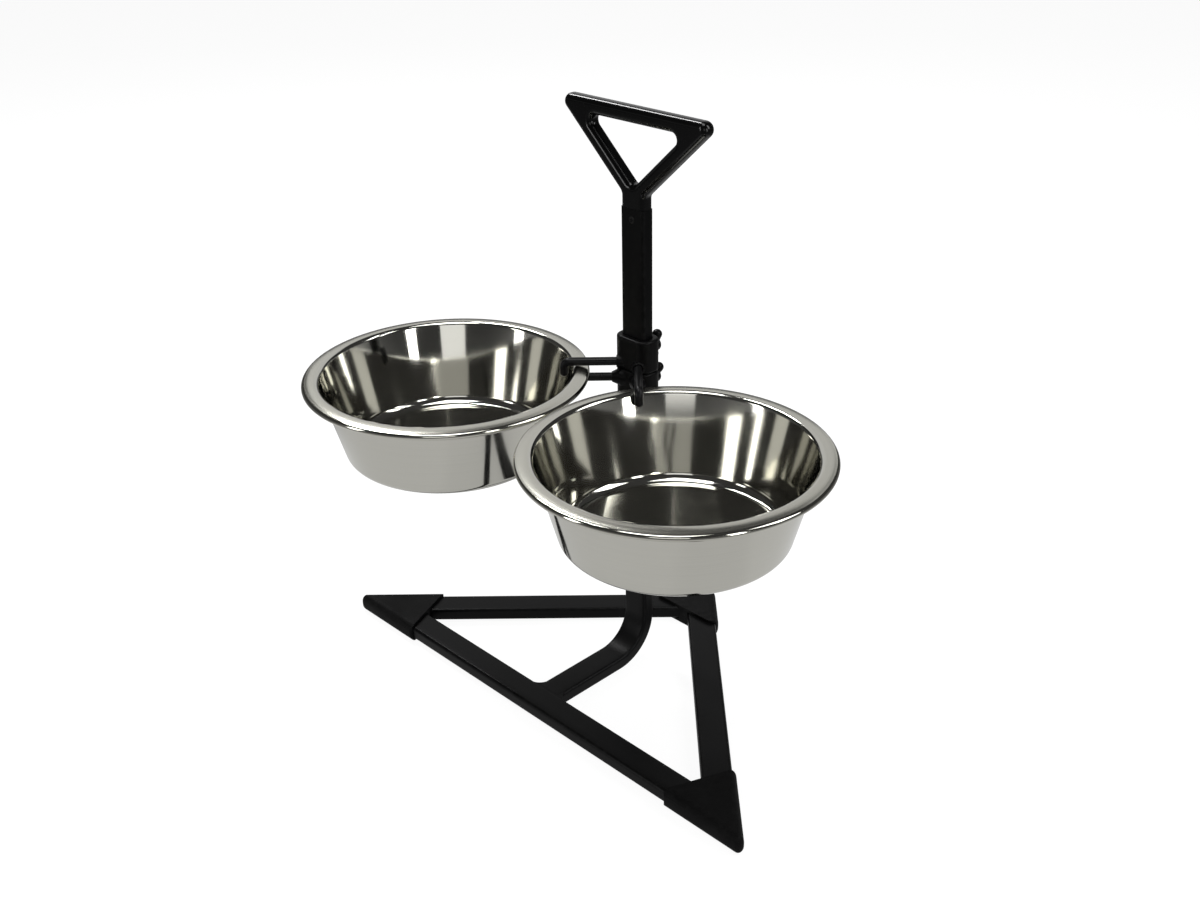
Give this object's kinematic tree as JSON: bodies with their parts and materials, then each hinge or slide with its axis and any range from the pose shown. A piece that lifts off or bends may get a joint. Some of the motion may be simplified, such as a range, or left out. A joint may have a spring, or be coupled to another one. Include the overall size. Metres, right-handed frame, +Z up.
{
  "type": "dog feeder stand",
  "caption": "Height-adjustable dog feeder stand: flat tube base, bent post with triangular handle, steel bowls gripped at the rim between sliding clamps.",
  "frame": {"origin": "on the floor, under the middle of the whole object's box", "axes": "+X along the front tube of the base to the viewer's right, +Y back to the base's rear corner, +Z up"},
  "size_m": [0.4818, 0.3344, 0.4965],
  "materials": {
    "tube": "black powder coat, satin",
    "rod": "black coated rod, satin",
    "cap": "matte black moulding with a fine grain",
    "handle": "black moulding, half gloss",
    "clamp": "black moulding, fine texture",
    "bowl": "polished stainless sheet, satin rim",
    "fixing": "zinc plated"
  },
  "bodies": {
    "stand": {"base_tube_front": "tube", "base_tube_left": "tube", "base_tube_right": "tube", "cap_left": "cap", "cap_right": "cap", "cap_rear": "cap", "post": "tube", "handle": "handle", "handle_screw": "fixing"},
    "lower_clamp_body": {"lower_clamp": "clamp", "lower_clamp_nut": "fixing", "left_stay": "rod", "right_stay": "rod"},
    "upper_clamp_body": {"upper_clamp": "clamp", "upper_clamp_nut": "fixing", "left_hook": "rod", "right_hook": "rod"},
    "lower_knob_body": {"lower_knob": "clamp", "lower_knob_screw": "fixing"},
    "upper_knob_body": {"upper_knob": "clamp", "upper_knob_screw": "fixing"},
    "left_bowl_body": {"left_bowl": "bowl"},
    "right_bowl_body": {"right_bowl": "bowl"}
  },
  "joints": [
    {"name": "lower_clamp_slide", "type": "slide", "parent": "stand", "child": "lower_clamp_body", "axis": [0, 0, 1], "range_m": [-0.185, 0.025]},
    {"name": "upper_clamp_slide", "type": "slide", "parent": "lower_clamp_body", "child": "upper_clamp_body", "axis": [0, 0, 1], "range_m": [0, 0.08]},
    {"name": "left_bowl_lift", "type": "slide", "parent": "lower_clamp_body", "child": "left_bowl_body", "axis": [0, 0, 1], "range_m": [0, 0.08]},
    {"name": "right_bowl_lift", "type": "slide", "parent": "lower_clamp_body", "child": "right_bowl_body", "axis": [0, 0, 1], "range_m": [0, 0.08]},
    {"name": "lower_knob_turn", "type": "hinge", "parent": "lower_clamp_body", "child": "lower_knob_body", "pos_m": [-0.0039, 0.08437, 0.2685], "axis": [0, 1, 0], "range_deg": [0, 450]},
    {"name": "upper_knob_turn", "type": "hinge", "parent": "upper_clamp_body", "child": "upper_knob_body", "pos_m": [-0.0039, 0.08437, 0.2968], "axis": [0, 1, 0], "range_deg": [0, 450]}
  ],
  "couplings": [
    {"joint": "left_bowl_lift", "follows": "upper_clamp_slide", "ratio": 1},
    {"joint": "right_bowl_lift", "follows": "upper_clamp_slide", "ratio": 1}
  ]
}
